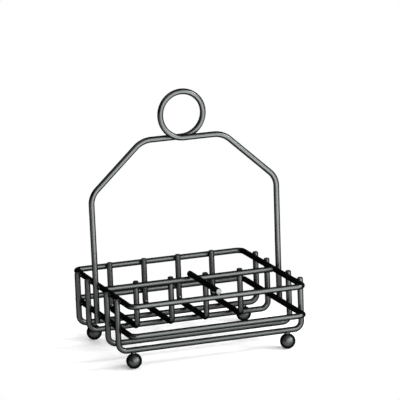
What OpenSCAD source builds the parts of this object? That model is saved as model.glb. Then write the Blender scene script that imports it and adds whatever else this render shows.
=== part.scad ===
// Table caddy of welded round wire for sugar packets and a pair of shakers

/* [Wire] */
// Diameter of every wire
wire_d = 4.76; // [4:0.02:5.6]
// Chamfer at the cut ends of the wires
tip_chamfer = 0.6; // [0.2:0.1:1]

/* [Basket] */
// Length of the two rings between wire centres
ring_l = 146; // [124:1:200]
// Depth of the two rings between wire centres
ring_w = 142; // [130:1:180]
// Corner radius of the rings at the wire's centre
ring_corner_r = 5.5; // [5:0.5:14]
// Height of the rim's wire above the table
rim_z = 55.4; // [48:0.1:80]
// Height of the lower ring's wire above the table
lower_z = 31.4; // [29:0.1:36]

/* [Runners] */
// Distance of the outer runners from the front and back of the rings
runner_inset = 20.6; // [17:0.2:26]
// Spacing of the two runners of each pair
runner_pitch = 26; // [16:0.5:34]
// Bend radius of the runners at the wire's centre
runner_bend_r = 6.5; // [6:0.5:10]

/* [Packet cradles] */
// Spacing of the cradles
cradle_pitch = 29.8; // [20:0.2:38]
// Place of the cradles' front legs, front to back
cradle_front_y = 0; // [-6:0.5:6]
// Bend radius at the foot of the cradles' front legs
cradle_front_r = 5; // [4:0.5:9]
// Bend radius at the foot of the cradles' back legs
cradle_back_r = 4.5; // [4:0.5:11]
// How far the cradles' front ends stand above the rim
cradle_front_tip = 0.4; // [0:0.1:4]
// How far the cradles' back ends stand above the rim
cradle_back_tip = 1.6; // [0:0.1:4]

/* [Rail and divider] */
// Gap between the rail's coped ends and the rim
cope_gap = 0.05; // [0.02:0.01:0.2]
// How far the divider runs past the middle of the rail
divider_back_lap = 0.4; // [0:0.1:2]
// How far the divider runs past the middle of the rim's front
divider_front_lap = 2; // [0:0.1:2.2]

/* [Handle] */
// How far the legs reach below the lower ring's wire
handle_foot = 5; // [3:0.5:8]
// Height above the rim at which the legs start to lean out
handle_lean_rise = 10; // [6:1:20]
// How far each shoulder stands outside its leg
handle_splay = 0.5; // [0.4:0.1:6]
// Height of the shoulders' corners above the table
shoulder_z = 131; // [115:0.5:150]
// Height of the top bar's wire above the table
top_z = 172; // [160:0.5:200]
// Half of the top bar's length between its corners
top_half_l = 33.6; // [28:0.2:48]
// Bend radius where the legs lean out
handle_lean_r = 60; // [30:5:90]
// Bend radius of the shoulders
shoulder_r = 16; // [8:1:24]
// Bend radius at the ends of the top bar
top_r = 20; // [8:1:30]
// Radius of the finger loop at the wire's centre
loop_r = 18.6; // [12:0.2:24]
// Gap where the loop's two ends pass each other
loop_gap = 0.4; // [0.2:0.1:1]

/* [Ball feet] */
// Diameter of the balls
ball_d = 12.7; // [9:0.1:14]
// Distance of the balls from the ends of their runners
ball_inset = 12.26; // [12:0.02:25]
// Diameter of the weld neck on each ball
neck_d = 4; // [2.5:0.1:4.4]
// Height of the weld neck between a ball and its runner
neck_h = 0.2; // [0.1:0.05:1]

/* [Hidden] */
$fn = 48;
coat = "#1b1b1d";
wire_r = wire_d / 2;
half_l = ring_l / 2;
half_w = ring_w / 2;
leg_x = half_l + wire_d;
runner_outer_y = half_w - runner_inset;
runner_inner_y = runner_outer_y - runner_pitch;
ball_x = leg_x - ball_inset;
run_z = ball_d + neck_h + wire_r;
rim_top = rim_z + wire_r;
cradle_count = 4;
cradle_z = run_z + wire_d;
cradle_back_y = half_w - wire_d;
rail_y = cradle_front_y - wire_d;
divider_z = rim_z + wire_d;
handle_y = (wire_d + loop_gap) / 2;
shoulder_x = leg_x + handle_splay;
// Points on each bend of the handle, on each half of its loop and around its wire
bend_steps = 8;
loop_steps = 24;
tube_sides = 24;

function unit(v) = v / norm(v);
function turn(u, v) = atan2(cross(u, v), u * v);
function heading(v) = atan2(v.y, v.x);

// Straight wire from p to q in the drawing plane
module straight(p, q) {
  translate([p.x, p.y, 0])
    rotate([0, 0, heading(q - p)])
      rotate([0, 90, 0])
        cylinder(d = wire_d, h = norm(q - p));
}

// Chamfered cut end that starts at p and finishes one chamfer further along dir
module tip(p, dir) {
  translate([p.x, p.y, 0])
    rotate([0, 0, heading(dir)])
      rotate([0, 90, 0])
        cylinder(d1 = wire_d, d2 = wire_d - 2 * tip_chamfer, h = tip_chamfer);
}

// Part of a ring of wire about c, counter-clockwise from the angle start
module arc(c, r, start, sweep) {
  translate([c.x, c.y, 0])
    rotate([0, 0, start])
      rotate_extrude(angle = sweep)
        translate([r, 0])
          circle(d = wire_d);
}

// Wire bent along a line of points in the drawing plane, with one radius for each inner corner
module bent_wire(points, radii) {
  last = len(points) - 1;
  dirs = [for (i = [0:last - 1]) unit(points[i + 1] - points[i])];
  turns = [for (i = [1:last - 1]) turn(dirs[i - 1], dirs[i])];
  bend_cuts = [for (i = [0:last - 2]) radii[i] * tan(abs(turns[i]) / 2)];
  cuts = concat([tip_chamfer], bend_cuts, [tip_chamfer]);
  tip(points[0] + dirs[0] * tip_chamfer, -dirs[0]);
  tip(points[last] - dirs[last - 1] * tip_chamfer, dirs[last - 1]);
  for (i = [0:last - 1])
    straight(points[i] + dirs[i] * cuts[i], points[i + 1] - dirs[i] * cuts[i + 1]);
  for (i = [1:last - 1]) {
    side = sign(turns[i - 1]);
    inward = side * [-dirs[i - 1].y, dirs[i - 1].x];
    centre = points[i] - dirs[i - 1] * cuts[i] + inward * radii[i - 1];
    sweep = abs(turns[i - 1]);
    first = heading(-inward);
    arc(centre, radii[i - 1], side > 0 ? first : first - sweep, sweep);
  }
}

// Lays a drawing plane upright along the length of the basket
module upright_along(y) {
  translate([0, y, 0])
    rotate([90, 0, 0])
      children();
}

// Lays a drawing plane upright across the basket
module upright_across(x) {
  translate([x, 0, 0])
    rotate([90, 0, 90])
      children();
}

// Closed rounded rectangle of wire at the height z
module ring(z) {
  run_l = half_l - ring_corner_r;
  run_w = half_w - ring_corner_r;
  color(coat)
    translate([0, 0, z]) {
      for (side = [-1, 1]) {
        straight([-run_l, side * half_w], [run_l, side * half_w]);
        straight([side * half_l, -run_w], [side * half_l, run_w]);
      }
      arc([run_l, run_w], ring_corner_r, 0, 90);
      arc([-run_l, run_w], ring_corner_r, 90, 90);
      arc([-run_l, -run_w], ring_corner_r, 180, 90);
      arc([run_l, -run_w], ring_corner_r, 270, 90);
    }
}

module rim_ring() {
  ring(rim_z);
}

module lower_ring() {
  ring(lower_z);
}

// Long U of wire: its legs stand outside the rings and end level with the top of the rim
module runner(y) {
  color(coat)
    upright_along(y)
      bent_wire(
        [[-leg_x, rim_top], [-leg_x, run_z], [leg_x, run_z], [leg_x, rim_top]],
        [runner_bend_r, runner_bend_r]
      );
}

// U of wire across the back half: it lies on the back runners, inside the rings and behind the rail
module cradle(place) {
  color(coat)
    upright_across((place - (cradle_count + 1) / 2) * cradle_pitch)
      bent_wire(
        [[cradle_back_y, rim_top + cradle_back_tip], [cradle_back_y, cradle_z],
         [cradle_front_y, cradle_z], [cradle_front_y, rim_top + cradle_front_tip]],
        [cradle_back_r, cradle_front_r]
      );
}

// Straight wire level with the rim, its ends coped to the sides of the rim
module centre_rail() {
  color(coat)
    difference() {
      translate([0, rail_y, rim_z])
        straight([-half_l, 0], [half_l, 0]);
      for (side = [-1, 1])
        translate([side * half_l, rail_y - wire_d, rim_z])
          rotate([-90, 0, 0])
            cylinder(d = wire_d + 2 * cope_gap, h = 2 * wire_d);
    }
}

// Short straight wire that rests on the rail and on the front of the rim
module divider_bar() {
  back = [0, rail_y + divider_back_lap];
  front = [0, -half_w - divider_front_lap];
  color(coat)
    translate([0, 0, divider_z]) {
      straight(back - [0, tip_chamfer], front + [0, tip_chamfer]);
      tip(back - [0, tip_chamfer], [0, 1]);
      tip(front + [0, tip_chamfer], [0, -1]);
    }
}

// Corner at b of the line from a to c, rounded to the radius r, as a list of points
function rounded_corner(a, b, c, r) =
  let(
    u = unit(b - a),
    bend = turn(u, unit(c - b)),
    inward = sign(bend) * [-u.y, u.x],
    centre = b - u * r * tan(abs(bend) / 2) + inward * r,
    first = heading(-inward)
  )
  [for (i = [0:bend_steps]) let(t = first + bend * i / bend_steps) centre + r * [cos(t), sin(t)]];

// Left leg, shoulder and half of the top bar, seen from the front
function handle_side() =
  let(
    corners = [
      [-leg_x, lower_z - handle_foot], [-leg_x, rim_z + handle_lean_rise],
      [-shoulder_x, shoulder_z], [-top_half_l, top_z], [0, top_z]
    ],
    radii = [handle_lean_r, shoulder_r, top_r]
  )
  concat(
    [corners[0], corners[0] + [0, tip_chamfer]],
    [
      for (i = [1:len(corners) - 2])
        each rounded_corner(corners[i - 1], corners[i], corners[i + 1], radii[i - 1])
    ]
  );

// Half of the loop, up the right side, while the wire crosses from behind to the middle
function loop_side() = [
  for (i = [0:loop_steps])
    let(t = 180 * i / loop_steps, rise = (1 - cos(t)) / 2)
      [loop_r * sin(t), handle_y * (1 - rise), top_z + 2 * loop_r * rise]
];

// The whole centre line: the second half is the first one turned half way round the upright axis
function handle_line() =
  let(first = concat([for (p = handle_side()) [p.x, handle_y, p.y]], loop_side()))
  concat(first, [for (i = [len(first) - 2:-1:0]) [-first[i].x, -first[i].y, first[i].z]]);

// Points around the wire at the point i of a line that nowhere runs front to back
function wire_section(line, i) =
  let(
    last = len(line) - 1,
    r = i == 0 || i == last ? wire_r - tip_chamfer : wire_r,
    along = unit(line[min(i + 1, last)] - line[max(i - 1, 0)]),
    out = unit([0, 1, 0] - along.y * along),
    over = cross(along, out)
  )
  [for (k = [0:tube_sides - 1]) let(t = 360 * k / tube_sides) line[i] + r * (cos(t) * out + sin(t) * over)];

// Wire with chamfered ends along any such line
module swept_wire(line) {
  last = len(line) - 1;
  start = [for (k = [0:tube_sides - 1]) k];
  finish = [for (k = [tube_sides - 1:-1:0]) last * tube_sides + k];
  wall = [
    for (i = [0:last - 1], k = [0:tube_sides - 1])
      let(a = i * tube_sides + k, b = i * tube_sides + (k + 1) % tube_sides)
        each [[a, a + tube_sides, b], [b, a + tube_sides, b + tube_sides]]
  ];
  polyhedron([for (i = [0:last]) each wire_section(line, i)], concat([start, finish], wall));
}

// One bent wire welded to the outside of both rings, with a full loop in the middle of its top
module carry_handle() {
  color(coat)
    swept_wire(handle_line());
}

// Ball with a weld neck that seats on the underside of its runner
module ball_foot(side_x, side_y) {
  color(coat)
    translate([side_x * ball_x, side_y * runner_outer_y, 0])
      difference() {
        union() {
          translate([0, 0, ball_d / 2])
            sphere(d = ball_d);
          translate([0, 0, ball_d / 2])
            cylinder(d = neck_d, h = run_z - ball_d / 2);
        }
        translate([-ball_d, 0, run_z])
          rotate([0, 90, 0])
            cylinder(d = wire_d, h = 2 * ball_d);
      }
}

rim_ring();
lower_ring();
runner(runner_outer_y);  // runner_outer_back
runner(runner_inner_y);  // runner_inner_back
runner(-runner_inner_y);  // runner_inner_front
runner(-runner_outer_y);  // runner_outer_front
cradle(1);  // cradle_1
cradle(2);  // cradle_2
cradle(3);  // cradle_3
cradle(4);  // cradle_4
centre_rail();
divider_bar();
carry_handle();
ball_foot(-1, -1);  // ball_foot_front_left
ball_foot(1, -1);  // ball_foot_front_right
ball_foot(-1, 1);  // ball_foot_back_left
ball_foot(1, 1);  // ball_foot_back_right
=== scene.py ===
"""Wire packet holder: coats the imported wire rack, bends its handle, adds the welds and sets the stage."""
import math

import bpy
from bpy.props import FloatProperty, FloatVectorProperty, IntProperty, PointerProperty
from mathutils import Matrix, Vector


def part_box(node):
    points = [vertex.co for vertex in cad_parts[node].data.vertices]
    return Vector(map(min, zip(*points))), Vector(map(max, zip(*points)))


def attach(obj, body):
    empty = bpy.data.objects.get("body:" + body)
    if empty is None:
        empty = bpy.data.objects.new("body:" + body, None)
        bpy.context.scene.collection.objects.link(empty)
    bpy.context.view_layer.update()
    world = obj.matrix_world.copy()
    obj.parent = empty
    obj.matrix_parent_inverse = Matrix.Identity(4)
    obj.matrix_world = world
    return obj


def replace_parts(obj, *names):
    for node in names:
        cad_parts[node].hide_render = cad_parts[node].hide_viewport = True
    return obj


bl_info = {
    "name": "Wire Packet Holder",
    "version": (1, 0, 0),
    "blender": (4, 5, 0),
    "location": "3D View > Sidebar > Packet Holder",
    "description": "Coats, welds and stages a wire holder for sugar packets",
    "category": "Object",
}

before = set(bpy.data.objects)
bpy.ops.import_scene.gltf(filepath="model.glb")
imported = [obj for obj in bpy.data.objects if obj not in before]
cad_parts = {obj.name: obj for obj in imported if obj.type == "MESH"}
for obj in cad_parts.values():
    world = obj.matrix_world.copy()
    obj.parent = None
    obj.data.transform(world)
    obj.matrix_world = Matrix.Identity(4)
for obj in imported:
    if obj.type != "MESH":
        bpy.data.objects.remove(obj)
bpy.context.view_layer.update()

RINGS = ("rim_ring", "lower_ring")
RUNNERS = ("runner_outer_back", "runner_inner_back", "runner_inner_front", "runner_outer_front")
BACK_RUNNERS = RUNNERS[:2]
CRADLES = ("cradle_1", "cradle_2", "cradle_3", "cradle_4")
FEET = ("ball_foot_front_left", "ball_foot_front_right", "ball_foot_back_left", "ball_foot_back_right")


def middle(node):
    """Centre of a CAD node's box."""
    low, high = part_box(node)
    return (low + high) / 2


def size(node):
    """Sides of a CAD node's box."""
    low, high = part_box(node)
    return high - low


WIRE_D = size("centre_rail").z

# From the rim's wire up to where the handle's legs start to lean
LEAN_RISE = 0.010

# Noise of the coat: grain and patches beside the orange peel, and the noise where patches start and end
GRAIN_SCALE = 5.5
GRAIN_SHARE = 0.12
PATCH_SCALE = 0.16
PATCH_LOW = 0.32
PATCH_HIGH = 0.68

# Lighter cut ends, scuffed coat and on the divider's front face a painted reflection: scale of the chips,
# how far they fray the border, and how much duller such a face is
CHIP_SCALE = 1400.0
CHIP_MEAN = 0.5
CHIP_FRAY = 1.6
RUB_DULLING = 0.18

# Faces of a weld nugget and of a collar's bead
NUGGET_SIDES = 24
NUGGET_RINGS = 10
COLLAR_STEPS = 40
BEAD_SIDES = 14

# Places of the sockets for decimal numbers on a Random Value node
LEAST = 2
MOST = 3
DRAWN = 1


# Settings


class CoatSettings(bpy.types.PropertyGroup):
    """Satin black powder coat."""

    black: FloatVectorProperty(
        name="Coat", description="Colour of the coat where it is thick",
        subtype="COLOR", size=3, min=0, max=1, default=(0.0022, 0.0024, 0.0023))
    thin: FloatVectorProperty(
        name="Thin Coat", description="Colour of the coat where it ran thin",
        subtype="COLOR", size=3, min=0, max=1, default=(0.0036, 0.0040, 0.0038))
    # Lighter colour at cut ends: scuffed coat at the tips and under the feet, and on the divider's front
    # face a painted reflection of the light in front.
    rubbed_and_glinting: FloatVectorProperty(
        name="Rubbed Ends", description="Colour of the rubbed coat at cut ends and under the feet",
        subtype="COLOR", size=3, min=0, max=1, default=(0.11, 0.11, 0.112))
    gloss_low: FloatProperty(
        name="Smooth Patches", description="Roughness of the smoothest patches",
        subtype="FACTOR", min=0, max=1, default=0.28)
    gloss_high: FloatProperty(
        name="Dull Patches", description="Roughness of the dullest patches",
        subtype="FACTOR", min=0, max=1, default=0.34)
    shine: FloatProperty(
        name="Shine", description="Specular level of the coat where it is seen face on",
        subtype="FACTOR", min=0, max=1, default=0.90)
    shine_tint: FloatVectorProperty(
        name="Shine Tint", description="Colour that the coat gives to its shine",
        subtype="COLOR", size=3, min=0, max=1, default=(0.93, 1.0, 0.97))
    sheen_full: FloatProperty(
        name="Full Shine", description="Slant up to which the shine is full, 0 face on and 1 edge on",
        subtype="FACTOR", min=0, max=1, default=0.08)
    sheen_gone: FloatProperty(
        name="No Shine", description="Slant at which the coat's fine texture has swallowed the shine",
        subtype="FACTOR", min=0, max=1, default=0.36)
    peel_size: FloatProperty(
        name="Peel Size", description="Width of one wave of the coat's orange peel",
        subtype="DISTANCE", unit="LENGTH", min=0.0002, max=0.01, default=0.0016)
    peel_depth: FloatProperty(
        name="Peel Depth", description="Height of the orange peel",
        subtype="DISTANCE", unit="LENGTH", min=0, max=0.001, default=0.0000025)


class WeldSettings(bpy.types.PropertyGroup):
    """Weld nuggets where pieces touch, and beads round the rail's butted ends."""

    waist: FloatProperty(
        name="Waist", description="Radius of a nugget where the wires touch",
        subtype="DISTANCE", unit="LENGTH", min=0.0002, max=0.004, default=0.0015)
    flare: FloatProperty(
        name="Flare", description="Radius of a nugget where it meets the wires",
        subtype="DISTANCE", unit="LENGTH", min=0.0002, max=0.004, default=0.0022)
    reach: FloatProperty(
        name="Reach", description="How far a nugget reaches into each wire",
        subtype="DISTANCE", unit="LENGTH", min=0.0002, max=0.004, default=0.00135)
    spread: FloatProperty(
        name="Spread", description="How much the nuggets differ in size",
        subtype="FACTOR", min=0, max=0.5, default=0.10)
    seed: IntProperty(
        name="Seed", description="Fixed seed of the nuggets' sizes", default=7)
    collar: FloatProperty(
        name="Collar", description="Thickness of the bead round a butted end",
        subtype="DISTANCE", unit="LENGTH", min=0.0002, max=0.003, default=0.0006)


class HandleSettings(bpy.types.PropertyGroup):
    """Course of the handle's wire."""

    foot_z: FloatProperty(
        name="Foot", description="Height of the legs' cut ends",
        subtype="DISTANCE", unit="LENGTH", default=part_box("carry_handle")[0].z)
    lean_z: FloatProperty(
        name="Lean", description="Height at which the legs start to lean out",
        subtype="DISTANCE", unit="LENGTH", default=middle("rim_ring").z + LEAN_RISE)
    leg_x: FloatProperty(
        name="Legs", description="Distance of a leg from the middle",
        subtype="DISTANCE", unit="LENGTH", default=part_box(RUNNERS[0])[1].x - WIRE_D / 2)
    splay: FloatProperty(
        name="Splay", description="How far a shoulder stands outside its leg",
        subtype="DISTANCE", unit="LENGTH", default=0.0005)
    shoulder_z: FloatProperty(
        name="Shoulder Height", description="Height of the shoulders' corners",
        subtype="DISTANCE", unit="LENGTH", default=0.131)
    top_x: FloatProperty(
        name="Top Bar", description="Half of the top bar between its corners",
        subtype="DISTANCE", unit="LENGTH", default=0.0336)
    top_z: FloatProperty(
        name="Top Height", description="Height of the top bar's wire",
        subtype="DISTANCE", unit="LENGTH", default=0.172)
    lean_r: FloatProperty(
        name="Lean Bend", description="Bend radius where the legs start to lean",
        subtype="DISTANCE", unit="LENGTH", default=0.060)
    shoulder_r: FloatProperty(
        name="Shoulder Bend", description="Bend radius of the shoulders",
        subtype="DISTANCE", unit="LENGTH", default=0.016)
    top_r: FloatProperty(
        name="Top Bend", description="Bend radius at the ends of the top bar",
        subtype="DISTANCE", unit="LENGTH", default=0.020)
    loop_r: FloatProperty(
        name="Loop", description="Radius of the finger loop",
        subtype="DISTANCE", unit="LENGTH", default=0.0186)
    cross_y: FloatProperty(
        name="Crossing", description="Offset of the two halves where they cross",
        subtype="DISTANCE", unit="LENGTH", default=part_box("carry_handle")[1].y - WIRE_D / 2)
    sides: IntProperty(
        name="Sides", description="Faces round the wire", min=12, max=96, default=40)


class StageSettings(bpy.types.PropertyGroup):
    """Floor, light and camera."""

    floor: FloatVectorProperty(
        name="Floor", description="Colour of the floor",
        subtype="COLOR", size=3, min=0, max=1, default=(0.90, 0.90, 0.90))
    floor_lift: FloatProperty(
        name="Floor Lift", description="White that the floor adds to the lamps' light under the object",
        min=0, max=1, default=0.22)
    lift_slope: FloatVectorProperty(
        name="Lift Slope", description="Rise of that white per metre, to the right and to the back",
        subtype="XYZ", size=3, default=(0.5, 1.4, 0.0))
    white_from: FloatProperty(
        name="White From", description="Distance at which the floor starts to turn plain white",
        unit="LENGTH", default=0.07)
    white_to: FloatProperty(
        name="White To", description="Distance from which the floor is plain white",
        unit="LENGTH", default=0.165)
    sky: FloatProperty(
        name="Room Light", description="Strength of the even light all round", min=0, max=2, default=0.015)
    key_power: FloatProperty(
        name="Key Power", description="Power of the soft light in front",
        unit="POWER", min=0, max=200, default=18.0)
    key_azimuth: FloatProperty(
        name="Key Azimuth", description="Direction of the soft light round the object",
        subtype="ANGLE", default=math.radians(20))
    key_elevation: FloatProperty(
        name="Key Elevation", description="Height of the soft light above the horizon",
        subtype="ANGLE", default=math.radians(18))
    key_distance: FloatProperty(
        name="Key Distance", description="Distance of the soft light", unit="LENGTH", default=0.9)
    key_aim: FloatProperty(
        name="Key Aim", description="Height at which the soft light points", unit="LENGTH", default=0.09)
    key_width: FloatProperty(
        name="Key Width", description="Width of the soft light", unit="LENGTH", default=1.6)
    key_height: FloatProperty(
        name="Key Height", description="Height of the soft light's panel", unit="LENGTH", default=0.70)
    pad_power: FloatProperty(
        name="Pad Power", description="Power of the light that lies on the floor in front",
        unit="POWER", min=0, max=200, default=6.5)
    pad_azimuth: FloatProperty(
        name="Pad Azimuth", description="Direction of the floor light round the object",
        subtype="ANGLE", default=math.radians(26))
    pad_distance: FloatProperty(
        name="Pad Distance", description="Distance of the floor light's middle",
        unit="LENGTH", default=0.40)
    pad_rise: FloatProperty(
        name="Pad Rise", description="Height of the floor light above the floor",
        unit="LENGTH", default=0.003)
    pad_width: FloatProperty(
        name="Pad Width", description="Width of the floor light", unit="LENGTH", default=0.80)
    pad_length: FloatProperty(
        name="Pad Length", description="Length of the floor light, away from the object",
        unit="LENGTH", default=0.40)
    side_power: FloatProperty(
        name="Side Power", description="Power of the small light on the right",
        unit="POWER", min=0, max=200, default=10.5)
    side_azimuth: FloatProperty(
        name="Side Azimuth", description="Direction of the small light round the object",
        subtype="ANGLE", default=math.radians(60))
    side_elevation: FloatProperty(
        name="Side Elevation", description="Height of the small light above the horizon",
        subtype="ANGLE", default=math.radians(34))
    side_distance: FloatProperty(
        name="Side Distance", description="Distance of the small light", unit="LENGTH", default=1.2)
    side_size: FloatProperty(
        name="Side Size", description="Width and height of the small light", unit="LENGTH", default=0.30)
    back_power: FloatProperty(
        name="Back Power", description="Power of the wide light behind",
        unit="POWER", min=0, max=200, default=9.0)
    back_elevation: FloatProperty(
        name="Back Elevation", description="Height of the wide light above the horizon",
        subtype="ANGLE", default=math.radians(40))
    back_distance: FloatProperty(
        name="Back Distance", description="Distance of the wide light", unit="LENGTH", default=1.3)
    back_width: FloatProperty(
        name="Back Width", description="Width of the wide light", unit="LENGTH", default=1.4)
    back_height: FloatProperty(
        name="Back Height", description="Height of the wide light's panel", unit="LENGTH", default=0.9)
    top_power: FloatProperty(
        name="Top Power", description="Power of the soft light overhead",
        unit="POWER", min=0, max=200, default=6.0)
    top_height: FloatProperty(
        name="Top Height", description="Height of the soft light overhead", unit="LENGTH", default=1.3)
    top_size: FloatProperty(
        name="Top Size", description="Width and length of the soft light overhead",
        unit="LENGTH", default=2.0)
    azimuth: FloatProperty(
        name="Azimuth", description="Camera direction round the object",
        subtype="ANGLE", default=math.radians(-19.5041))
    elevation: FloatProperty(
        name="Elevation", description="Camera height above the horizon",
        subtype="ANGLE", default=math.radians(12.497))
    roll: FloatProperty(
        name="Roll", description="Tilt of the camera about its own axis",
        subtype="ANGLE", default=math.radians(-2.1619))
    distance: FloatProperty(
        name="Distance", description="Distance of the camera from the aim point",
        unit="LENGTH", default=2.8)
    aim: FloatVectorProperty(
        name="Aim", description="Point in the middle of the picture",
        subtype="XYZ", unit="LENGTH", size=3, default=(0.01294, 0.0, 0.11866))
    lens: FloatProperty(
        name="Lens", description="Focal length for the sensor's width, in mm", min=1, default=312.05)
    sensor: FloatProperty(
        name="Sensor", description="Width of the camera's sensor, in mm", min=1, default=36.0)


# Helpers for node trees


def socket(tree, name, kind, direction="INPUT", default=None):
    """One named input or output of a node group."""
    made = tree.interface.new_socket(name=name, in_out=direction, socket_type=kind)
    if default is not None:
        made.default_value = default


def group_ends(tree):
    """The input and the output node of a node group."""
    return tree.nodes.new("NodeGroupInput"), tree.nodes.new("NodeGroupOutput")


def feed(tree, target, value):
    """Sets an input to a value, or links it where the value is a socket."""
    if isinstance(value, bpy.types.NodeSocket):
        tree.links.new(value, target)
    else:
        target.default_value = value


def filled(tree, made, inputs):
    """Sets a node's inputs by name, each to a value or a socket, and hands the node back."""
    for name, value in inputs.items():
        feed(tree, made.inputs[name.replace("_", " ")], value)
    return made


def node(tree, kind, **inputs):
    """A new node with its inputs set by name."""
    return filled(tree, tree.nodes.new(kind), inputs)


def maths(tree, operation, first, second, clamp=False):
    """One Math node; a number or a socket for each side."""
    made = tree.nodes.new("ShaderNodeMath")
    made.operation = operation
    made.use_clamp = clamp
    feed(tree, made.inputs[0], first)
    feed(tree, made.inputs[1], second)
    return made.outputs[0]


def distance_along(tree, place, direction):
    """How far a place lies along a direction, which is a vector or a socket."""
    made = tree.nodes.new("ShaderNodeVectorMath")
    made.operation = "DOT_PRODUCT"
    feed(tree, made.inputs[0], place)
    feed(tree, made.inputs[1], direction)
    return made.outputs["Value"]


def bare_material(name):
    """A material with nothing but its output node, and that node."""
    material = bpy.data.materials.new(name)
    material.use_nodes = True
    material.node_tree.nodes.clear()
    return material, material.node_tree.nodes.new("ShaderNodeOutputMaterial")


# Coat


def coat_peel():
    """Orange peel and patches of a powder coat, as a height and a patch mask."""
    known = bpy.data.node_groups.get("coat_peel")
    if known:
        return known
    tree = bpy.data.node_groups.new("coat_peel", "ShaderNodeTree")
    socket(tree, "Place", "NodeSocketVector")
    socket(tree, "Peel Size", "NodeSocketFloat", default=0.0016)
    socket(tree, "Grain Share", "NodeSocketFloat", default=GRAIN_SHARE)
    socket(tree, "Height", "NodeSocketFloat", "OUTPUT")
    socket(tree, "Patches", "NodeSocketFloat", "OUTPUT")
    start, end = group_ends(tree)
    place = start.outputs["Place"]
    waves = maths(tree, "DIVIDE", 1.0, start.outputs["Peel Size"])
    small = maths(tree, "MULTIPLY", waves, GRAIN_SCALE)
    large = maths(tree, "MULTIPLY", waves, PATCH_SCALE)
    peel = node(tree, "ShaderNodeTexNoise", Vector=place, Scale=waves, Detail=2.0, Roughness=0.45)
    grain = node(tree, "ShaderNodeTexNoise", Vector=place, Scale=small, Detail=3.0)
    patch = node(tree, "ShaderNodeTexNoise", Vector=place, Scale=large, Detail=4.0, Distortion=0.6)

    fine = maths(tree, "MULTIPLY", grain.outputs["Fac"], start.outputs["Grain Share"])
    height = maths(tree, "ADD", peel.outputs["Fac"], fine)
    spread = node(
        tree, "ShaderNodeMapRange", Value=patch.outputs["Fac"], From_Min=PATCH_LOW, From_Max=PATCH_HIGH)
    tree.links.new(height, end.inputs["Height"])
    tree.links.new(spread.outputs["Result"], end.inputs["Patches"])
    return tree


def end_rub_and_glint():
    """Mask of a lighter cut end, scuffed coat and on the divider's face a painted reflection: 1 at a cut
    end and 0 a little way behind it, with a ragged border.
    """
    known = bpy.data.node_groups.get("end_rub_and_glint")
    if known:
        return known
    tree = bpy.data.node_groups.new("end_rub_and_glint", "ShaderNodeTree")
    socket(tree, "Place", "NodeSocketVector")
    socket(tree, "Direction", "NodeSocketVector", default=(0.0, 0.0, 1.0))
    socket(tree, "End", "NodeSocketFloat", default=0.0)
    socket(tree, "Depth", "NodeSocketFloat", default=0.0006)
    socket(tree, "RubAndGlint", "NodeSocketFloat", "OUTPUT")
    start, end = group_ends(tree)
    place = start.outputs["Place"]
    along = distance_along(tree, place, start.outputs["Direction"])
    behind = maths(tree, "SUBTRACT", start.outputs["End"], along)
    share = maths(tree, "DIVIDE", behind, start.outputs["Depth"])
    chips = node(tree, "ShaderNodeTexNoise", Vector=place, Scale=CHIP_SCALE, Detail=4.0)
    uneven = maths(tree, "SUBTRACT", chips.outputs["Fac"], CHIP_MEAN)
    ragged = maths(tree, "ADD", share, maths(tree, "MULTIPLY", uneven, CHIP_FRAY))
    fade = node(
        tree, "ShaderNodeMapRange", Value=ragged, From_Min=0.0, From_Max=1.0, To_Min=1.0, To_Max=0.0)
    fade.interpolation_type = "SMOOTHSTEP"
    tree.links.new(fade.outputs["Result"], end.inputs["RubAndGlint"])
    return tree


def effect(tree, group, place, **inputs):
    """A node group of the coat at a place, with its other inputs set by name."""
    made = tree.nodes.new("ShaderNodeGroup")
    made.node_tree = group
    return filled(tree, made, {"Place": place, **inputs})


def mixed_colour(tree, share, first, second):
    """A colour between two others, each a value or a socket."""
    made = tree.nodes.new("ShaderNodeMix")
    made.data_type = "RGBA"
    filled(tree, made, {"Factor": share, "A": first, "B": second})
    return made.outputs["Result"]


def fading_shine(tree, coat):
    """Specular level that is full face on and gone at a slant."""
    slant = tree.nodes.new("ShaderNodeLayerWeight")
    sheen = node(
        tree, "ShaderNodeMapRange", Value=slant.outputs["Facing"], From_Min=coat.sheen_full,
        From_Max=coat.sheen_gone, To_Min=coat.shine, To_Max=0.0)
    sheen.interpolation_type = "SMOOTHSTEP"
    return sheen.outputs["Result"]


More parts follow.
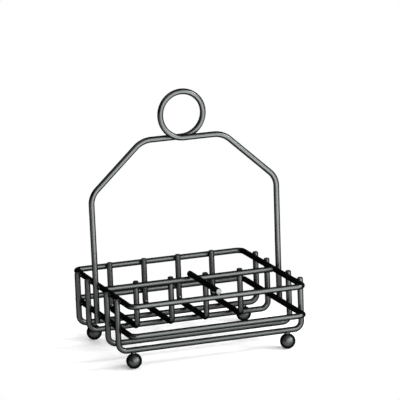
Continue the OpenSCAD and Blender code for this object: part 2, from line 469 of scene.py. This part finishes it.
def coat_material(name, direction=(0.0, 0.0, 1.0), end_at=1.0, depth=0.0006, rub_and_glint=0.25, lumps=1.0, dull=0.0):
    """Powder coat for one kind of piece; its ends that face direction at end_at are lighter: scuffed coat,
    and on the divider's front face a painted reflection.
    """
    coat = bpy.context.scene.coat_settings
    material, finish = bare_material(name)
    tree = material.node_tree
    place = tree.nodes.new("ShaderNodeTexCoord").outputs["Object"]
    peel = effect(tree, coat_peel(), place, Peel_Size=coat.peel_size, Grain_Share=GRAIN_SHARE)
    rub_and_glint_node = effect(tree, end_rub_and_glint(), place, Direction=direction, End=end_at, Depth=depth)
    patches, rubbed_and_glinting = peel.outputs["Patches"], rub_and_glint_node.outputs["RubAndGlint"]

    tone = mixed_colour(tree, patches, (*coat.black, 1.0), (*coat.thin, 1.0))
    # Painted reflection and scuffs: cut ends are mixed towards the lighter end colour, fully on the
    # divider's front face.
    colour = mixed_colour(tree, maths(tree, "MULTIPLY", rubbed_and_glinting, rub_and_glint), tone, (*coat.rubbed_and_glinting, 1.0))
    gloss = node(
        tree, "ShaderNodeMapRange", Value=patches, To_Min=coat.gloss_low + dull,
        To_Max=coat.gloss_high + dull)
    dulling = maths(tree, "MULTIPLY", rubbed_and_glinting, RUB_DULLING * rub_and_glint)
    roughness = maths(tree, "ADD", gloss.outputs["Result"], dulling, clamp=True)
    bump = node(
        tree, "ShaderNodeBump", Strength=1.0, Distance=coat.peel_depth * lumps,
        Height=peel.outputs["Height"])
    paint = node(
        tree, "ShaderNodeBsdfPrincipled", Base_Color=colour, Roughness=roughness,
        Normal=bump.outputs["Normal"], Specular_IOR_Level=fading_shine(tree, coat),
        Specular_Tint=(*coat.shine_tint, 1.0))
    tree.links.new(paint.outputs["BSDF"], finish.inputs["Surface"])
    return material


def coat_nodes(names, material):
    """Gives CAD nodes that keep their own shape their material."""
    for name in names:
        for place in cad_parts[name].material_slots:
            place.material = material


# Geometry trees


def named_field(tree, name, kind):
    """A field that reads an attribute of the points."""
    made = node(tree, "GeometryNodeInputNamedAttribute", Name=name)
    made.data_type = kind
    return made.outputs["Attribute"]


def aimed_points(tree, start):
    """The guide's points, and the turns that lay an instance along the attribute aim."""
    points = node(tree, "GeometryNodeMeshToPoints", Mesh=start.outputs["Geometry"])
    turn = node(tree, "FunctionNodeAlignRotationToVector", Vector=named_field(tree, "aim", "FLOAT_VECTOR"))
    turn.axis = "Z"
    return points.outputs["Points"], turn.outputs["Rotation"]


def closing(tree, end, geometry, material):
    """Smooth shading, Realize Instances and Set Material, which end every tree."""
    smooth = node(tree, "GeometryNodeSetShadeSmooth", Geometry=geometry)
    real = node(tree, "GeometryNodeRealizeInstances", Geometry=smooth.outputs["Geometry"])
    coated = node(tree, "GeometryNodeSetMaterial", Geometry=real.outputs["Geometry"], Material=material)
    tree.links.new(coated.outputs["Geometry"], end.inputs["Geometry"])


def swept_wire_tree():
    """Round wire along the edges of a mesh; the attribute girth thins it at its ends."""
    tree = bpy.data.node_groups.new("swept_wire", "GeometryNodeTree")
    socket(tree, "Geometry", "NodeSocketGeometry")
    socket(tree, "Wire Radius", "NodeSocketFloat", default=0.00238)
    socket(tree, "Sides", "NodeSocketInt", default=40)
    socket(tree, "Coat", "NodeSocketMaterial")
    socket(tree, "Geometry", "NodeSocketGeometry", "OUTPUT")
    start, end = group_ends(tree)
    line = node(tree, "GeometryNodeMeshToCurve", Mesh=start.outputs["Geometry"])
    section = node(
        tree, "GeometryNodeCurvePrimitiveCircle", Resolution=start.outputs["Sides"],
        Radius=start.outputs["Wire Radius"])
    tube = node(
        tree, "GeometryNodeCurveToMesh", Curve=line.outputs["Curve"],
        Profile_Curve=section.outputs["Curve"], Scale=named_field(tree, "girth", "FLOAT"), Fill_Caps=True)
    closing(tree, end, tube.outputs["Mesh"], start.outputs["Coat"])
    return tree


def nugget_mesh(tree, start):
    """One hourglass nugget about its own middle."""
    barrel = node(
        tree, "GeometryNodeMeshCylinder", Vertices=NUGGET_SIDES, Side_Segments=NUGGET_RINGS,
        Fill_Segments=1, Radius=1.0, Depth=2.0)
    here = tree.nodes.new("GeometryNodeInputPosition").outputs["Position"]
    x, y, z = node(tree, "ShaderNodeSeparateXYZ", Vector=here).outputs
    bow = maths(tree, "MULTIPLY", z, z)
    flare = maths(tree, "SUBTRACT", start.outputs["Flare"], start.outputs["Waist"])
    girth = maths(tree, "ADD", start.outputs["Waist"], maths(tree, "MULTIPLY", bow, flare))
    shaped = node(
        tree, "ShaderNodeCombineXYZ", X=maths(tree, "MULTIPLY", x, girth),
        Y=maths(tree, "MULTIPLY", y, girth), Z=maths(tree, "MULTIPLY", z, start.outputs["Reach"]))
    nugget = node(
        tree, "GeometryNodeSetPosition", Geometry=barrel.outputs["Mesh"], Position=shaped.outputs["Vector"])
    return nugget.outputs["Geometry"]


def weld_nugget_tree():
    """An hourglass nugget on each point, along the attribute aim and sized by the attribute girth."""
    tree = bpy.data.node_groups.new("weld_nugget", "GeometryNodeTree")
    socket(tree, "Geometry", "NodeSocketGeometry")
    socket(tree, "Waist", "NodeSocketFloat", default=0.0015)
    socket(tree, "Flare", "NodeSocketFloat", default=0.0022)
    socket(tree, "Reach", "NodeSocketFloat", default=0.00135)
    socket(tree, "Spread", "NodeSocketFloat", default=0.1)
    socket(tree, "Seed", "NodeSocketInt", default=7)
    socket(tree, "Coat", "NodeSocketMaterial")
    socket(tree, "Geometry", "NodeSocketGeometry", "OUTPUT")
    start, end = group_ends(tree)
    chance = node(tree, "FunctionNodeRandomValue", Seed=start.outputs["Seed"])
    chance.data_type = "FLOAT"
    feed(tree, chance.inputs[LEAST], maths(tree, "SUBTRACT", 1.0, start.outputs["Spread"]))
    feed(tree, chance.inputs[MOST], maths(tree, "ADD", 1.0, start.outputs["Spread"]))
    scale = maths(tree, "MULTIPLY", chance.outputs[DRAWN], named_field(tree, "girth", "FLOAT"))
    flat = node(tree, "ShaderNodeCombineXYZ", X=scale, Y=scale, Z=1.0)
    points, turn = aimed_points(tree, start)
    placed = node(
        tree, "GeometryNodeInstanceOnPoints", Points=points, Instance=nugget_mesh(tree, start),
        Rotation=turn, Scale=flat.outputs["Vector"])
    closing(tree, end, placed.outputs["Instances"], start.outputs["Coat"])
    return tree


def butt_collar_tree():
    """A round bead about each point, square to the attribute aim."""
    tree = bpy.data.node_groups.new("butt_collar", "GeometryNodeTree")
    socket(tree, "Geometry", "NodeSocketGeometry")
    socket(tree, "Wire Radius", "NodeSocketFloat", default=0.00238)
    socket(tree, "Bead", "NodeSocketFloat", default=0.0003)
    socket(tree, "Coat", "NodeSocketMaterial")
    socket(tree, "Geometry", "NodeSocketGeometry", "OUTPUT")
    start, end = group_ends(tree)
    around = node(
        tree, "GeometryNodeCurvePrimitiveCircle", Resolution=COLLAR_STEPS,
        Radius=start.outputs["Wire Radius"])
    section = node(
        tree, "GeometryNodeCurvePrimitiveCircle", Resolution=BEAD_SIDES, Radius=start.outputs["Bead"])
    bead = node(
        tree, "GeometryNodeCurveToMesh", Curve=around.outputs["Curve"],
        Profile_Curve=section.outputs["Curve"])
    points, turn = aimed_points(tree, start)
    placed = node(
        tree, "GeometryNodeInstanceOnPoints", Points=points, Instance=bead.outputs["Mesh"], Rotation=turn)
    closing(tree, end, placed.outputs["Instances"], start.outputs["Coat"])
    return tree


def guide(name, points, girths, aims=None):
    """A guide object for a tree: a chain of points, or loose points where each has an aim."""
    mesh = bpy.data.meshes.new(name)
    edges = [] if aims else [(i, i + 1) for i in range(len(points) - 1)]
    mesh.from_pydata([tuple(p) for p in points], edges, [])
    mesh.attributes.new("girth", "FLOAT", "POINT").data.foreach_set("value", girths)
    if aims:
        flat = [v for aim in aims for v in aim]
        mesh.attributes.new("aim", "FLOAT_VECTOR", "POINT").data.foreach_set("vector", flat)
    made = bpy.data.objects.new(name, mesh)
    bpy.context.scene.collection.objects.link(made)
    return made


def grown(guide_object, tree, values):
    """Runs a tree on a guide and keeps the result as the object's plain mesh."""
    modifier = guide_object.modifiers.new(tree.name, "NODES")
    modifier.node_group = tree
    names = {item.name: item.identifier for item in tree.interface.items_tree if item.in_out == "INPUT"}
    for name, value in values.items():
        modifier[names[name]] = value
    bpy.context.view_layer.update()
    graph = bpy.context.evaluated_depsgraph_get()
    mesh = bpy.data.meshes.new_from_object(
        guide_object.evaluated_get(graph), preserve_all_data_layers=True, depsgraph=graph)
    if not mesh.polygons:
        raise RuntimeError(f"{guide_object.name}: the tree {tree.name} made no faces")
    guide_object.modifiers.remove(modifier)
    old = guide_object.data
    guide_object.data = mesh
    mesh.name = guide_object.name
    bpy.data.meshes.remove(old)
    return guide_object


def seated(piece):
    """A finished new piece rides on the one body."""
    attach(piece, "root")
    return piece


# Pieces


class HOLDER_OT_rings(bpy.types.Operator):
    """Coat the rim and the lower ring"""

    bl_idname = "holder.rings"
    bl_label = "Coat Rings"

    def execute(self, context):
        coat_nodes(RINGS, coat_material("ring_coat", rub_and_glint=0.0))
        return {"FINISHED"}


class HOLDER_OT_runners(bpy.types.Operator):
    """Coat the four runners, with scuffed tips on their legs"""

    bl_idname = "holder.runners"
    bl_label = "Coat Runners"

    def execute(self, context):
        coat_nodes(RUNNERS, coat_material("runner_coat", end_at=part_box(RUNNERS[0])[1].z))
        return {"FINISHED"}


class HOLDER_OT_cradles(bpy.types.Operator):
    """Coat the four packet cradles, with scuffed tips on their back legs"""

    bl_idname = "holder.cradles"
    bl_label = "Coat Cradles"

    def execute(self, context):
        coat_nodes(CRADLES, coat_material("cradle_coat", end_at=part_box(CRADLES[0])[1].z))
        return {"FINISHED"}


class HOLDER_OT_rail(bpy.types.Operator):
    """Coat the centre rail"""

    bl_idname = "holder.rail"
    bl_label = "Coat Rail"

    def execute(self, context):
        coat_nodes(("centre_rail",), coat_material("rail_coat", rub_and_glint=0.0))
        return {"FINISHED"}


class HOLDER_OT_divider(bpy.types.Operator):
    """Coat the divider bar, with a lighter cut face at the front: scuffed coat and a painted reflection of
    the light in front
    """

    bl_idname = "holder.divider"
    bl_label = "Coat Divider"

    def execute(self, context):
        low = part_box("divider_bar")[0]
        # Painted reflection: the front cut face takes the full lighter end colour, which also stands for
        # scuffed coat.
        coat = coat_material(
            "divider_coat", direction=(0.0, -1.0, 0.0), end_at=-low.y, depth=0.0005, rub_and_glint=1.0)
        coat_nodes(("divider_bar",), coat)
        return {"FINISHED"}


class HOLDER_OT_feet(bpy.types.Operator):
    """Coat the four ball feet, scuffed where they stand"""

    bl_idname = "holder.feet"
    bl_label = "Coat Ball Feet"

    def execute(self, context):
        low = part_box(FEET[0])[0]
        coat = coat_material(
            "foot_coat", direction=(0.0, 0.0, -1.0), end_at=-low.z, depth=0.0004, rub_and_glint=0.4, dull=0.09)
        coat_nodes(FEET, coat)
        return {"FINISHED"}


def bent(first, corner, last, radius, steps):
    """Points of the arc that rounds a corner, in the handle's plane."""
    into = (corner - first).normalized()
    out = (last - corner).normalized()
    turn = math.atan2(into.x * out.y - into.y * out.x, into.dot(out))
    inward = Vector((-into.y, into.x)) * math.copysign(1.0, turn)
    centre = corner - into * radius * math.tan(abs(turn) / 2) + inward * radius
    begin = math.atan2(-inward.y, -inward.x)
    angles = [begin + turn * i / steps for i in range(steps + 1)]
    return [centre + radius * Vector((math.cos(angle), math.sin(angle))) for angle in angles]


class HOLDER_OT_handle(bpy.types.Operator):
    """Bend the carry handle with its finger loop"""

    bl_idname = "holder.handle"
    bl_label = "Bend Handle"

    # Distances from a cut end, and the share of the wire's radius at each
    tip = (0.0, 0.0001, 0.0003, 0.0006)
    tip_girth = (0.76, 0.86, 0.95, 1.0)
    bend_steps = 20
    loop_steps = 64

    def half_line(self, way):
        """Points of the left half, from its cut end up to the top of the loop."""
        corners = [
            Vector(p) for p in (
                (-way.leg_x, way.foot_z), (-way.leg_x, way.lean_z),
                (-way.leg_x - way.splay, way.shoulder_z), (-way.top_x, way.top_z), (0.0, way.top_z))
        ]
        side = [corners[0] + Vector((0.0, t)) for t in self.tip]
        for i, radius in enumerate((way.lean_r, way.shoulder_r, way.top_r), 1):
            side += bent(corners[i - 1], corners[i], corners[i + 1], radius, self.bend_steps)
        half = [Vector((p.x, way.cross_y, p.y)) for p in side]
        for i in range(self.loop_steps + 1):
            t = math.pi * i / self.loop_steps
            rise = (1 - math.cos(t)) / 2
            height = way.top_z + 2 * way.loop_r * rise
            half.append(Vector((way.loop_r * math.sin(t), way.cross_y * (1 - rise), height)))
        return half

    def execute(self, context):
        way = context.scene.handle_settings
        half = self.half_line(way)
        line = half + [Vector((-p.x, -p.y, p.z)) for p in reversed(half[:-1])]
        girths = [1.0] * len(line)
        for i, girth in enumerate(self.tip_girth):
            girths[i] = girths[-1 - i] = girth
        coat = coat_material("handle_coat", direction=(0.0, 0.0, -1.0), end_at=-way.foot_z)
        piece = grown(
            guide("bent_handle", line, girths), swept_wire_tree(),
            {"Wire Radius": WIRE_D / 2, "Sides": way.sides, "Coat": coat})
        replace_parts(seated(piece), "carry_handle")
        return {"FINISHED"}


class HOLDER_OT_welds(bpy.types.Operator):
    """Set a weld nugget wherever two pieces touch and a bead round the rail's ends"""

    bl_idname = "holder.welds"
    bl_label = "Add Welds"

    # A ball's weld lies this far under the top of its neck and is this many times as wide
    foot_sink = 0.0001
    foot_girth = 1.05
    # Share of a collar's thickness by which its ring is smaller than the wire
    collar_sink = 0.15
    # How many times as deep the orange peel is on a weld
    weld_lumps = 2.2

    def crossings(self):
        """Place, direction and girth of every weld, from the nodes' own boxes."""
        r = WIRE_D / 2
        low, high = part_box("rim_ring")
        side_x, back_y = high.x, high.y - WIRE_D
        levels = [middle(name).z for name in RINGS]
        rail = middle("centre_rail")
        handle_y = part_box("carry_handle")[1].y - r
        across, along, up = (1.0, 0.0, 0.0), (0.0, 1.0, 0.0), (0.0, 0.0, 1.0)
        found = []
        for name in RUNNERS:
            y = middle(name).y
            found += [((s * side_x, y, z), across) for s in (-1, 1) for z in levels]
        found += [((s * side_x, -s * handle_y, z), across) for s in (-1, 1) for z in levels]
        for name in CRADLES:
            x, bottom = middle(name).x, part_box(name)[0].z
            found += [((x, back_y, z), along) for z in levels]
            found += [((x, middle(runner).y, bottom), up) for runner in BACK_RUNNERS]
            found.append(((x, rail.y + r, rail.z), along))
        found += [((0.0, y, rail.z + r), up) for y in (rail.y, low.y + r)]
        found = [(*weld, 1.0) for weld in found]
        for name in FEET:
            centre, top = middle(name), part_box(name)[1].z
            found.append(((centre.x, centre.y, top - self.foot_sink), up, self.foot_girth))
        return found

    def execute(self, context):
        weld = context.scene.weld_settings
        coat = coat_material("weld_coat", rub_and_glint=0.0, lumps=self.weld_lumps)
        places, aims, girths = zip(*self.crossings())
        values = {
            "Waist": weld.waist, "Flare": weld.flare, "Reach": weld.reach, "Spread": weld.spread,
            "Seed": weld.seed, "Coat": coat}
        nuggets = grown(guide("weld_nuggets", places, girths, aims), weld_nugget_tree(), values)
        seated(nuggets)

        rail = middle("centre_rail")
        ends = [(s * (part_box("rim_ring")[1].x - WIRE_D), rail.y, rail.z) for s in (-1, 1)]
        across = (1.0, 0.0, 0.0)
        ring_r = WIRE_D / 2 - weld.collar * self.collar_sink
        collars = grown(
            guide("rail_collars", ends, [1.0, 1.0], [across, across]), butt_collar_tree(),
            {"Wire Radius": ring_r, "Bead": weld.collar / 2, "Coat": coat})
        seated(collars)
        return {"FINISHED"}


# Stage


class HOLDER_OT_stage(bpy.types.Operator):
    """Lay the floor, hang the lights and set up the camera"""

    bl_idname = "holder.stage"
    bl_label = "Set Stage"

    # Radii of the floor's rings of points, and the points in each ring
    floor_radii = (0.4, 1.0, 2.5, 6.0)
    floor_sides = 64
    # Clip distances of the camera
    nearest_seen = 0.05
    farthest_seen = 30.0

    def floor_material(self, stage):
        """Pale paper that turns plain white away from the object, for the camera and in reflections."""
        material, finish = bare_material("pale_floor")
        tree = material.node_tree
        ray = tree.nodes.new("ShaderNodeLightPath").outputs
        mirrored = maths(tree, "MAXIMUM", ray["Is Glossy Ray"], ray["Is Transmission Ray"])
        seen = maths(tree, "MAXIMUM", ray["Is Camera Ray"], mirrored)
        place = tree.nodes.new("ShaderNodeTexCoord").outputs["Object"]

        slope = distance_along(tree, place, stage.lift_slope)
        strength = maths(tree, "ADD", slope, stage.floor_lift, clamp=True)
        lift = node(tree, "ShaderNodeEmission", Strength=maths(tree, "MULTIPLY", seen, strength))
        paper = node(tree, "ShaderNodeBsdfDiffuse", Color=(*stage.floor, 1.0))
        lifted = tree.nodes.new("ShaderNodeAddShader")
        tree.links.new(paper.outputs["BSDF"], lifted.inputs[0])
        tree.links.new(lift.outputs["Emission"], lifted.inputs[1])

        away = tree.nodes.new("ShaderNodeVectorMath")
        away.operation = "LENGTH"
        tree.links.new(place, away.inputs[0])
        rise = node(
            tree, "ShaderNodeMapRange", Value=away.outputs["Value"], From_Min=stage.white_from,
            From_Max=stage.white_to)
        rise.interpolation_type = "SMOOTHSTEP"
        white = tree.nodes.new("ShaderNodeEmission")
        blend = node(tree, "ShaderNodeMixShader", Fac=maths(tree, "MULTIPLY", seen, rise.outputs["Result"]))
        tree.links.new(lifted.outputs["Shader"], blend.inputs[1])
        tree.links.new(white.outputs["Emission"], blend.inputs[2])
        tree.links.new(blend.outputs["Shader"], finish.inputs["Surface"])
        return material

    def lay_floor(self, scene, stage):
        """A flat round floor: a fan of faces in the middle and rings of faces round it."""
        count = self.floor_sides
        points, faces = [(0.0, 0.0, 0.0)], []
        for radius in self.floor_radii:
            angles = [2 * math.pi * i / count for i in range(count)]
            points += [(radius * math.cos(angle), radius * math.sin(angle), 0.0) for angle in angles]
        for i in range(count):
            j = (i + 1) % count
            faces.append((0, 1 + i, 1 + j))
            for k in range(len(self.floor_radii) - 1):
                a, b = 1 + k * count, 1 + (k + 1) * count
                faces.append((a + i, b + i, b + j, a + j))
        mesh = bpy.data.meshes.new("floor")
        mesh.from_pydata(points, [], faces)
        mesh.materials.append(self.floor_material(stage))
        floor = bpy.data.objects.new("floor", mesh)
        scene.collection.objects.link(floor)

    @staticmethod
    def heading(azimuth, elevation):
        """Direction from the object; azimuth 0 is the front."""
        level = math.cos(elevation)
        return Vector((math.sin(azimuth) * level, -math.cos(azimuth) * level, math.sin(elevation)))

    @staticmethod
    def panel(name, place, back, width, height, power, turn=0.0):
        """A soft light at a place, shining away from the direction back."""
        lamp = bpy.data.lights.new(name, "AREA")
        lamp.shape = "RECTANGLE"
        lamp.size = width
        lamp.size_y = height
        lamp.energy = power
        made = bpy.data.objects.new(name, lamp)
        made.location = place
        facing = (-back).to_track_quat("-Z", "Y").to_matrix().to_4x4()
        made.rotation_euler = (Matrix.Rotation(turn, 4, "Z") @ facing).to_euler()
        made.visible_camera = False
        bpy.context.scene.collection.objects.link(made)

    def hang_lights(self, scene, stage):
        """A dim even room, and five soft panels."""
        world = bpy.data.worlds.new("room")
        world.use_nodes = True
        room = world.node_tree.nodes["Background"].inputs
        room["Color"].default_value = (1.0, 1.0, 1.0, 1.0)
        room["Strength"].default_value = stage.sky
        scene.world = world

        up = Vector((0.0, 0.0, 1.0))
        down = Vector((0.0, 0.0, -1.0))
        front = self.heading(stage.key_azimuth, stage.key_elevation)
        place = up * stage.key_aim + front * stage.key_distance
        self.panel("key_panel", place, front, stage.key_width, stage.key_height, stage.key_power)
        ahead = self.heading(stage.pad_azimuth, 0.0)
        place = ahead * stage.pad_distance + up * stage.pad_rise
        self.panel(
            "floor_panel", place, down, stage.pad_width, stage.pad_length, stage.pad_power,
            turn=stage.pad_azimuth)
        beside = self.heading(stage.side_azimuth, stage.side_elevation)
        place = beside * stage.side_distance
        self.panel("side_panel", place, beside, stage.side_size, stage.side_size, stage.side_power)
        behind = self.heading(math.pi, stage.back_elevation)
        place = behind * stage.back_distance
        self.panel("back_panel", place, behind, stage.back_width, stage.back_height, stage.back_power)
        self.panel("top_panel", up * stage.top_height, up, stage.top_size, stage.top_size, stage.top_power)

    def set_camera(self, scene, stage):
        """The camera at the photograph's angle."""
        back = self.heading(stage.azimuth, stage.elevation)
        right = Vector((math.cos(stage.azimuth), math.sin(stage.azimuth), 0.0))
        up = back.cross(right)
        c, s = math.cos(stage.roll), math.sin(stage.roll)
        x_axis, y_axis = c * right + s * up, c * up - s * right
        lens = bpy.data.cameras.new("camera")
        lens.sensor_width = stage.sensor
        lens.lens = stage.lens
        lens.clip_start = self.nearest_seen
        lens.clip_end = self.farthest_seen
        camera = bpy.data.objects.new("camera", lens)
        turned = Matrix((x_axis, y_axis, back)).transposed().to_4x4()
        camera.matrix_world = Matrix.Translation(Vector(stage.aim) + back * stage.distance) @ turned
        scene.collection.objects.link(camera)
        scene.camera = camera

    def execute(self, context):
        scene = context.scene
        stage = scene.stage_settings
        self.lay_floor(scene, stage)
        self.hang_lights(scene, stage)
        self.set_camera(scene, stage)
        scene.view_settings.view_transform = "Standard"
        return {"FINISHED"}


class HOLDER_PT_panel(bpy.types.Panel):
    """Makes the holder's pieces one after the other"""

    bl_label = "Packet Holder"
    bl_idname = "HOLDER_PT_panel"
    bl_space_type = "VIEW_3D"
    bl_region_type = "UI"
    bl_category = "Packet Holder"

    def draw(self, context):
        for operator in OPERATORS:
            self.layout.operator(operator.bl_idname)


SETTINGS = {
    "coat_settings": CoatSettings,
    "weld_settings": WeldSettings,
    "handle_settings": HandleSettings,
    "stage_settings": StageSettings,
}
OPERATORS = (
    HOLDER_OT_rings, HOLDER_OT_runners, HOLDER_OT_cradles, HOLDER_OT_rail, HOLDER_OT_divider,
    HOLDER_OT_feet, HOLDER_OT_handle, HOLDER_OT_welds, HOLDER_OT_stage,
)


def register():
    """Adds the settings, the operators and the panel."""
    for name, group in SETTINGS.items():
        bpy.utils.register_class(group)
        setattr(bpy.types.Scene, name, PointerProperty(type=group))
    for made in (*OPERATORS, HOLDER_PT_panel):
        bpy.utils.register_class(made)


def unregister():
    """Takes the panel, the operators and the settings away again."""
    for made in (HOLDER_PT_panel, *reversed(OPERATORS)):
        bpy.utils.unregister_class(made)
    for name, group in SETTINGS.items():
        delattr(bpy.types.Scene, name)
        bpy.utils.unregister_class(group)


def main():
    """Makes every piece and the stage."""
    register()
    bpy.ops.holder.rings()
    bpy.ops.holder.runners()
    bpy.ops.holder.cradles()
    bpy.ops.holder.rail()
    bpy.ops.holder.divider()
    bpy.ops.holder.feet()
    bpy.ops.holder.handle()
    bpy.ops.holder.welds()
    bpy.ops.holder.stage()


if __name__ == "__main__":
    main()
